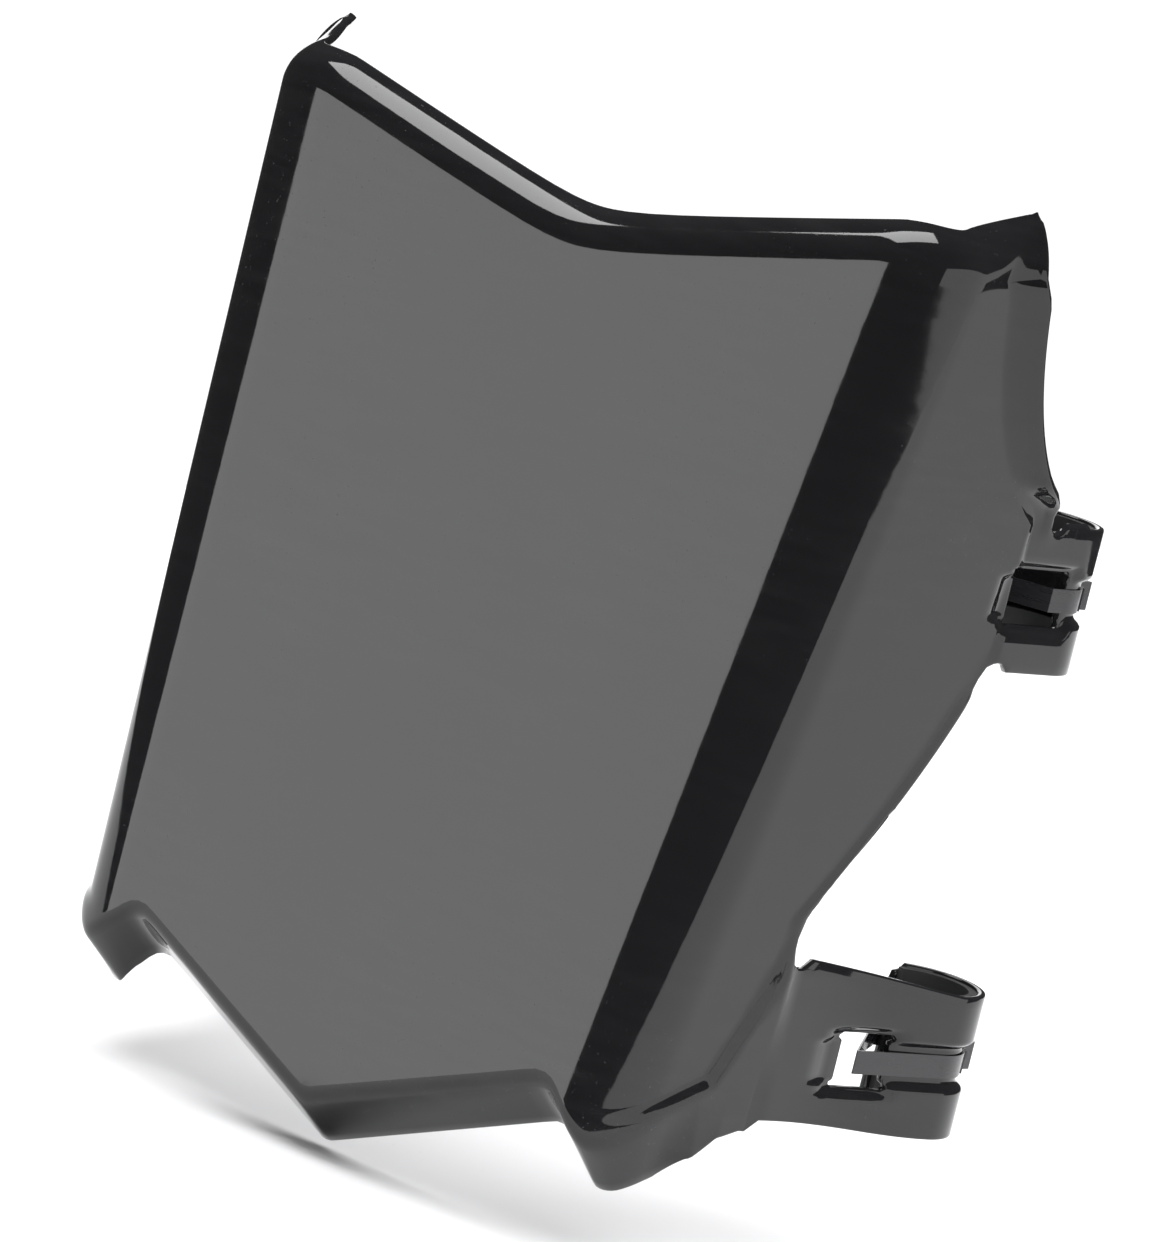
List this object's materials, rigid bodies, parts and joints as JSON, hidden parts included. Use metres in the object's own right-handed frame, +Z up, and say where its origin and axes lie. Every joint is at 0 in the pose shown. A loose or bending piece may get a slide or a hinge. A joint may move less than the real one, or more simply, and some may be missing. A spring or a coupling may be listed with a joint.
{
  "type": "windshield screen",
  "caption": "Moulded gloss black wind deflector with a leaning front face, two folded-back wings and C-shaped cradles that strap to a pair of upright tubes.",
  "frame": {"origin": "middle of the bottom of the assembly's bounding box, on the mid-plane", "axes": "+Z up along the tubes, the front face looks along -Y, +X is the right-hand side seen from in front"},
  "size_m": [0.3556, 0.1942, 0.3964],
  "materials": {
    "gloss_black_moulding": "high-gloss black moulded plastic",
    "pad_rubber": "matt black rubber",
    "coated_band_steel": "satin black coated spring steel",
    "screw_steel": "black oxide steel"
  },
  "bodies": {
    "screen": {"clamp_band_lower_left": "coated_band_steel", "clamp_band_lower_right": "coated_band_steel", "clamp_band_upper_left": "coated_band_steel", "clamp_band_upper_right": "coated_band_steel", "clamp_housing_lower_left": "coated_band_steel", "clamp_housing_lower_right": "coated_band_steel", "clamp_housing_upper_left": "coated_band_steel", "clamp_housing_upper_right": "coated_band_steel", "pad_lower_bottom_left": "pad_rubber", "pad_lower_bottom_right": "pad_rubber", "pad_lower_top_left": "pad_rubber", "pad_lower_top_right": "pad_rubber", "pad_upper_bottom_left": "pad_rubber", "pad_upper_bottom_right": "pad_rubber", "pad_upper_top_left": "pad_rubber", "pad_upper_top_right": "pad_rubber", "screen_shell": "gloss_black_moulding"},
    "worm_screw_upper_right": {"worm_screw_upper_right": "screw_steel"},
    "band_tail_upper_right": {"band_tail_upper_right": "coated_band_steel"},
    "worm_screw_upper_left": {"worm_screw_upper_left": "screw_steel"},
    "band_tail_upper_left": {"band_tail_upper_left": "coated_band_steel"},
    "worm_screw_lower_right": {"worm_screw_lower_right": "screw_steel"},
    "band_tail_lower_right": {"band_tail_lower_right": "coated_band_steel"},
    "worm_screw_lower_left": {"worm_screw_lower_left": "screw_steel"},
    "band_tail_lower_left": {"band_tail_lower_left": "coated_band_steel"}
  },
  "joints": [
    {"name": "worm_screw_upper_right_turn", "type": "hinge", "parent": "screen", "child": "worm_screw_upper_right", "pos_m": [0.15253, 0.09201, 0.26169], "axis": [-0.9945, 0.1045, 0], "range_deg": [-360, 1080]},
    {"name": "band_tail_upper_right_feed", "type": "hinge", "parent": "screen", "child": "band_tail_upper_right", "pos_m": [0.15, 0.06792, 0.26169], "axis": [0, 0, 1], "range_deg": [-6, 18]},
    {"name": "worm_screw_upper_left_turn", "type": "hinge", "parent": "screen", "child": "worm_screw_upper_left", "pos_m": [-0.15253, 0.09201, 0.26169], "axis": [0.9945, 0.1045, 0], "range_deg": [-360, 1080]},
    {"name": "band_tail_upper_left_feed", "type": "hinge", "parent": "screen", "child": "band_tail_upper_left", "pos_m": [-0.15, 0.06792, 0.26169], "axis": [0, 0, 1], "range_deg": [-18, 6]},
    {"name": "worm_screw_lower_right_turn", "type": "hinge", "parent": "screen", "child": "worm_screw_lower_right", "pos_m": [0.15253, 0.09201, 0.08069], "axis": [-0.9945, 0.1045, 0], "range_deg": [-360, 1080]},
    {"name": "band_tail_lower_right_feed", "type": "hinge", "parent": "screen", "child": "band_tail_lower_right", "pos_m": [0.15, 0.06792, 0.08069], "axis": [0, 0, 1], "range_deg": [-6, 18]},
    {"name": "worm_screw_lower_left_turn", "type": "hinge", "parent": "screen", "child": "worm_screw_lower_left", "pos_m": [-0.15253, 0.09201, 0.08069], "axis": [0.9945, 0.1045, 0], "range_deg": [-360, 1080]},
    {"name": "band_tail_lower_left_feed", "type": "hinge", "parent": "screen", "child": "band_tail_lower_left", "pos_m": [-0.15, 0.06792, 0.08069], "axis": [0, 0, 1], "range_deg": [-18, 6]}
  ],
  "couplings": [
    {"joint": "band_tail_upper_right_feed", "follows": "worm_screw_upper_right_turn", "ratio": 0.0163},
    {"joint": "band_tail_upper_left_feed", "follows": "worm_screw_upper_left_turn", "ratio": -0.0163},
    {"joint": "band_tail_lower_right_feed", "follows": "worm_screw_lower_right_turn", "ratio": 0.0163},
    {"joint": "band_tail_lower_left_feed", "follows": "worm_screw_lower_left_turn", "ratio": -0.0163}
  ]
}
